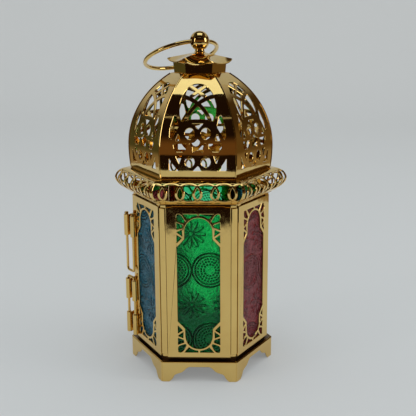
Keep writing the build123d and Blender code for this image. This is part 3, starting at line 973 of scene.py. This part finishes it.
def drillBall(piece):  # the hole that the ring runs through
    s = finial
    turn = math.radians(s["heading"])
    way = s["holeReach"] * Vector((math.sin(turn), -math.cos(turn), 0))
    bm = bmesh.new()
    addTube(bm, [(ballSpot - way) * mm, (ballSpot + way) * mm], s["hole"] * mm, s["holeAround"])
    mesh = bpy.data.meshes.new("drill")
    bm.to_mesh(mesh)
    bm.free()
    drill = bpy.data.objects.new("drill", mesh)
    scene.collection.objects.link(drill)
    cut = piece.modifiers.new("ringHole", "BOOLEAN")
    cut.object = drill
    cut.solver = "EXACT"
    bpy.context.view_layer.update()
    drilled = piece.evaluated_get(bpy.context.evaluated_depsgraph_get())
    piece.data = bpy.data.meshes.new_from_object(drilled)
    piece.modifiers.clear()
    piece.data.set_sharp_from_angle(angle=math.radians(s["sharp"]))
    bpy.data.objects.remove(drill)


drillBall(brassPiece("finial", makeFinial(), "case", "finial", finial["sharp"]))


def makeRing():
    s = ring
    lean, turn = math.radians(s["tilt"]), math.radians(finial["heading"])
    down = Vector((math.cos(lean) * math.cos(turn), math.cos(lean) * math.sin(turn), -math.sin(lean)))
    along = Vector((-math.sin(turn), math.cos(turn), 0))
    middle = ballSpot + down * s["radius"]
    bm = bmesh.new()
    spots = []
    for k in range(s["steps"] + 1):
        t = math.tau * k / s["steps"]
        spots.append(middle + s["radius"] * (down * math.cos(t) + along * math.sin(t)))
    addTube(bm, spots, s["wire"] - s["slack"], s["around"])
    return bm


brassPiece("hangingRing", makeRing(), "ring", "hanging_ring", ring["sharp"])
print("top done")

casePivot = jointSpot("hinge_wire_swing").xy
doorPivot = jointSpot("door_swing").xy
latchPivot = jointSpot("latch_swing").xy
hinge = {
    "radius": 1.8, "length": 13.8, "leaf": 0.6, "bore": 0.95, "boreAround": 20, "bevel": 0.15,
    "roll": 312, "rollSteps": 30, "seam": 1.42, "heights": (0.786, 0.334, 0.09),
    "inset": 4.0, "overhang": 5.5, "caseLeaf": 0.4, "doorLeaf": 4.5,
    "wire": 0.85, "slack": 0.01, "around": 14, "bend": 1.9, "bendSteps": 8,
    "head": [(0, 0), (1.075, 0), (1.275, 0.2), (1.275, 1.2), (1.02, 1.55), (0, 1.7)], "headAround": 20,
    "headGrip": 0.1, "sharp": 40,
}
nearAcross = panelHigh.x - hinge["inset"]
farAcross = panelHigh.x + hinge["overhang"]
pivotOut = bodyFlat + hinge["radius"]
headTall = hinge["head"][-1][1]


def addBarrel(bm, index, across, leafEnd, height):
    s = hinge
    side = 1 if leafEnd > across else -1
    outline = [(leafEnd, 0), (across, 0)]
    for i in range(1, s["rollSteps"]):
        t = math.radians(-90 - s["roll"] * i / s["rollSteps"])
        outline.append((across + side * s["radius"] * math.cos(t), s["radius"] + s["radius"] * math.sin(t)))
    outline += [(across + side * s["seam"], s["leaf"]), (leafEnd, s["leaf"])]
    bore = circle(across, s["radius"], s["bore"], s["boreAround"])

    def lay(u, d, w):
        x, y = sidePoint(sideAngle(index), u, bodyFlat + d)
        return (x, y, height + w + s["length"] / 2)

    addSheet(bm, [outline, bore], lay, s["length"], s["bevel"])


def addStaple(bm, a, b, openEnd, bar):
    s = hinge
    rise = 1 if openEnd > bar else -1
    step = (b - a).normalized() * s["bend"]
    path = [(a.x, a.y, openEnd), (a.x, a.y, (openEnd + bar) / 2)]
    for i in range(s["bendSteps"] + 1):
        t = math.pi / 2 * i / s["bendSteps"]
        spot = a + step * (1 - math.cos(t))
        path.append((spot.x, spot.y, bar + rise * s["bend"] * (1 - math.sin(t))))
    path += [(a.x + b.x - x, a.y + b.y - y, z) for x, y, z in path[::-1]]
    addTube(bm, path, s["wire"] - s["slack"], s["around"])


def addHead(bm, spot, height):
    piece = bmesh.new()
    addTurning(piece, hinge["head"], hinge["headAround"])
    bmesh.ops.translate(piece, verts=piece.verts[:], vec=(spot.x, spot.y, height))
    joinInto(bm, piece)


def makeHungWire(node, a, b, heads):  # hangs by its heads, with the bar below
    low, high = span(node)
    top = high.z - headTall
    bm = bmesh.new()
    addStaple(bm, a, b, top + hinge["headGrip"], low.z + hinge["wire"])
    for spot in heads:
        addHead(bm, spot, top)
    return bm


caseBarrels, doorBarrels, latchBarrel, lowerWire = (bmesh.new() for _ in range(4))
for share in hinge["heights"]:
    height = panelLow.z + share * (panelHigh.z - panelLow.z)
    addBarrel(caseBarrels, doorSide + 1, -nearAcross, hinge["caseLeaf"] - panelHigh.x, height)
    addBarrel(doorBarrels, doorSide, farAcross, panelHigh.x - hinge["doorLeaf"], height)
upperWire = makeHungWire("hinge_wire_upper", casePivot, doorPivot, [casePivot, doorPivot])
lowerLow, lowerHigh = span("hinge_wire_lower")
addStaple(lowerWire, casePivot, doorPivot, lowerLow.z, lowerHigh.z - hinge["wire"])

latchSide = doorSide - 1
barrelLow, barrelHigh = span("latch_barrel")
barrelMiddle = (barrelLow.z + barrelHigh.z) / 2
addBarrel(latchBarrel, latchSide, nearAcross, panelHigh.x - hinge["caseLeaf"], barrelMiddle)
clipSpot = Vector(sidePoint(sideAngle(doorSide), -farAcross, pivotOut))
latchReach = (clipSpot - latchPivot).length
latchFree = Vector(sidePoint(sideAngle(latchSide), nearAcross - latchReach, pivotOut))
latchWire = makeHungWire("latch_wire", latchPivot, latchFree, [latchPivot])

hingePieces = [
    ("hingeBarrelsCase", caseBarrels, "case", "hinge_barrels_case"),
    ("hingeBarrelsDoor", doorBarrels, "door", "hinge_barrels_door"),
    ("hingeWireUpper", upperWire, "hinge_wires", "hinge_wire_upper"),
    ("hingeWireLower", lowerWire, "hinge_wires", "hinge_wire_lower"),
    ("latchBarrel", latchBarrel, "case", "latch_barrel"),
    ("latchWire", latchWire, "latch", "latch_wire"),
]
for label, bm, body, node in hingePieces:
    brassPiece(label, bm, body, node, hinge["sharp"])
print("hinge done")

for name in ["base_floor", "top_ring", "finial_nut", "latch_clip"]:  # CAD shapes that stay
    # the base floor takes the dark brass, as painted shade
    frame["nodes"][name].material_slots[0].material = floorShadeBrass if name == "base_floor" else brass

studio = {  # metres from here on
    "pale": (0.72, 0.742, 0.742, 1), "grey": (0.5, 0.5, 0.5, 1), "shown": (0.58, 0.59, 0.583, 1),
    "world": (0.64, 0.655, 0.66, 1), "beyond": (0.49, 0.51, 0.515, 1),
    "mottle": (3.0, 2.0), "mottleShare": 0.05, "rough": 0.85, "glow": 0.35, "mirrorGlow": 0.12,
    "half": 6.0, "front": -6.0, "bend": 1.2, "curve": 0.8, "curveSteps": 12, "top": 4.0,
}
room = {
    "dark": (0.012, 0.006, 0.004, 1), "brown": (0.13, 0.066, 0.028, 1), "wall": (0.45, 0.45, 0.42, 1),
    "leftGloom": (0.067, 0.066, 0.030, 1), "rightGloom": (0.115, 0.072, 0.028, 1),
    "table": (0.26, 0.20, 0.12, 1), "black": (0, 0, 0, 1),
    "eye": 0.15, "radius": 2.0, "wallEnd": 145, "floor": 0.0008, "rowStep": 6, "foot": -6, "ceiling": 42,
    "wallStep": 5, "ceilingStep": 10, "tableEdge": 0.40, "tableLeft": 0.55, "tableRight": 0.5, "least": 0.01,
    # degrees up or round where a tone starts and where it is full
    "bandFoot": (-9.5, -8.0), "bandTop": (17.0, 3.0), "lampLift": 39.0, "lampTall": (1.4, 0.6),
    "lampWide": (30.0, 20.0), "lampShare": 0.7, "right": (-5.0, 5.0), "leftWall": (8.0, 22.0),
    "rightWall": (24.0, 33.0), "wallTop": (48.0, 38.0), "wallTurn": (95.0, 115.0),
    "gloomLift": (2.0, 12.0), "gloomShare": 0.6, "aside": (50.0, 64.0),
    "tableReach": (1.1, 0.6), "tableRise": (0.02, 0.01),  # metres
}


def seenDirectly(g):  # by the camera, also through glass
    rays = g.node("ShaderNodeLightPath")
    return rays, g.out(rays, "Is Camera Ray").max(g.out(rays, "Is Transmission Ray"))


def paleMaterial():
    s = studio
    g = Graph(bpy.data.materials.new("paleSweep"))
    mottle = g.noise(g.place(), *s["mottle"]) * s["mottleShare"]
    g.surface(Base_Color=g.blend(mottle, s["pale"], s["grey"]), Roughness=s["rough"])
    rays, direct = seenDirectly(g)
    share = (direct * s["glow"]).max(g.out(rays, "Is Glossy Ray") * s["mirrorGlow"])
    glow = g.node("ShaderNodeEmission", {}, {0: s["shown"]})
    return g.finishWith("Material Output", share, g.out(g.shader), g.out(glow))


def roomMaterial():  # painted reflections: glowing sheets round the table that only the polished metal mirrors, dark with a brown band, a lamp line, gloom, table and pale walls
    s = room
    g = Graph(bpy.data.materials.new("paintedReflectionRoom"))
    spot = g.node("ShaderNodeSeparateXYZ", {}, {0: g.place()})
    x, y, z = (g.out(spot, k) for k in range(3))
    reach = (x * x + y * y) ** 0.5
    lift = x.calc("ARCTAN2", z - s["eye"], reach) * math.degrees(1)
    turn = x.calc("ARCTAN2", x, y * -1) * math.degrees(1)
    level = g.smooth(lift, *s["bandFoot"]) * g.smooth(lift, *s["bandTop"])
    ahead = g.blend(level, s["dark"], s["brown"])
    # a painted reflection of a lamp: a pale glowing line at this height ahead
    lamp = g.smooth((lift - s["lampLift"]).abs(), *s["lampTall"]) * g.smooth(turn.abs(), *s["lampWide"])
    ahead = g.blend(lamp * s["lampShare"], ahead, s["wall"])
    right = g.smooth(turn, *s["right"])
    rise = g.smooth(lift, *s["leftWall"]) * (1 - right) + g.smooth(lift, *s["rightWall"]) * right
    rise = rise * g.smooth(lift, *s["wallTop"]) * g.smooth(turn.abs(), *s["wallTurn"])
    gloom = g.blend(right, s["leftGloom"], s["rightGloom"])
    gloom = g.blend(g.smooth(lift, *s["gloomLift"]) * s["gloomShare"], gloom, s["dark"])
    aside = g.blend(rise, gloom, s["wall"])
    near = g.smooth(reach, *s["tableReach"]) * g.smooth(z, *s["tableRise"])
    aside = g.blend(near, aside, s["table"])
    colour = g.blend(g.smooth(turn.abs(), *s["aside"]), ahead, aside)
    return g.surface(
        Base_Color=s["black"], Specular_IOR_Level=0.0, Emission_Color=colour, Emission_Strength=1.0)


def stageSheet(name, rows, material, mirrorOnly=False):
    mesh = bpy.data.meshes.new(name)
    wide = len(rows[0])
    faces = []
    for i in range(len(rows) - 1):
        for k in range(wide - 1):
            faces.append((i * wide + k, i * wide + k + 1, (i + 1) * wide + k + 1, (i + 1) * wide + k))
    mesh.from_pydata([point for row in rows for point in row], [], faces)
    mesh.shade_smooth()
    mesh.materials.append(material)
    sheet = bpy.data.objects.new(name, mesh)
    scene.collection.objects.link(sheet)
    if mirrorOnly:  # seen only in the metal, as a painted reflection
        sheet.visible_camera = sheet.visible_shadow = False
        sheet.visible_diffuse = sheet.visible_transmission = False


def sweepRows():
    s = studio
    path = [(s["front"], 0), (s["bend"], 0)]
    for i in range(s["curveSteps"]):
        t = math.radians(90 * (i + 1) / s["curveSteps"])
        path.append((s["bend"] + s["curve"] * math.sin(t), s["curve"] * (1 - math.cos(t))))
    path.append((s["bend"] + s["curve"], s["top"]))
    return [[(-s["half"], y, z), (s["half"], y, z)] for y, z in path]


def around(turn, reach, z):
    t = math.radians(turn)
    return (reach * math.sin(t), -reach * math.cos(t), z)


def roomRow(lift, turns):
    t = math.radians(lift)
    reach, z = room["radius"] * math.cos(t), room["eye"] + room["radius"] * math.sin(t)
    return [around(turn, reach, z) for turn in turns]


def tableReach(turn):
    side = room["tableLeft"] if turn < 0 else room["tableRight"]
    return min(side, room["tableEdge"] / max(math.cos(math.radians(turn)), room["least"]))


def makeRoom():
    s = room
    material = roomMaterial()
    turns = range(-s["wallEnd"], s["wallEnd"] + 1, s["wallStep"])
    walls = [roomRow(lift, turns) for lift in range(s["foot"], s["ceiling"] + 1, s["rowStep"])]
    full = range(0, 361, s["ceilingStep"])
    ceiling = [roomRow(lift, full) for lift in range(s["ceiling"], 91, s["rowStep"])]
    floor = [
        [around(turn, tableReach(turn), s["floor"]) for turn in turns],
        [around(turn, s["radius"], s["floor"]) for turn in turns],
    ]
    for name, rows in (("roomWalls", walls), ("roomCeiling", ceiling), ("roomFloor", floor)):
        stageSheet(name, rows, material, True)


def makeWorld():
    g = Graph(bpy.data.worlds.new("studio"))
    light = g.tree.nodes["Background"]
    g.feed(light.inputs[0], studio["world"])
    beyond = g.node("ShaderNodeBackground", {}, {0: studio["beyond"]})
    direct = seenDirectly(g)[1]
    return g.finishWith("World Output", direct, g.out(light), g.out(beyond))


stageSheet("paleSweep", sweepRows(), paleMaterial())
makeRoom()
scene.world = makeWorld()

lamps = {
    "overhead": {
        "size": (0.9, 0.7), "place": (0.05, -0.08, 1.4), "aim": (0.05, -0.08, 0.1), "power": 2.9,
        "colour": (0.75, 0.87, 1.0)},
    "leftStrip": {
        "size": (0.16, 0.9), "place": (-1.2, -0.75, 0.42), "aim": (0, 0, 0.15), "power": 1.5,
        "colour": (1, 1, 1)},
    "rightStrip": {
        "size": (0.5, 0.75), "place": (1.3, -0.3, 0.4), "aim": (0, 0, 0.15), "power": 3.4,
        "colour": (1, 1, 1)},
}
for name, look in lamps.items():
    softbox = bpy.data.lights.new(name, "AREA")
    softbox.shape = "RECTANGLE"
    softbox.size, softbox.size_y = look["size"]
    softbox.energy = look["power"]
    softbox.color = look["colour"]
    lamp = bpy.data.objects.new(name, softbox)
    scene.collection.objects.link(lamp)
    lamp.location = look["place"]
    lamp.rotation_euler = (Vector(look["aim"]) - Vector(look["place"])).to_track_quat("-Z", "Y").to_euler()

view = {
    "lens": 65.53, "sensor": 36, "place": (0.0191, -0.4744, 0.2186),
    "turns": [(1.74, "Z"), (76.2, "X"), (-0.26, "Z")],  # pan, tilt and roll
}
cameraData = bpy.data.cameras.new("camera")
cameraData.lens = view["lens"]
cameraData.sensor_width = view["sensor"]
camera = bpy.data.objects.new("camera", cameraData)
scene.collection.objects.link(camera)
stand = Matrix.Translation(view["place"])
for angle, axis in view["turns"]:
    stand = stand @ Matrix.Rotation(math.radians(angle), 4, axis)
camera.matrix_world = stand
scene.camera = camera
scene.view_settings.view_transform = "Standard"
print("studio done")
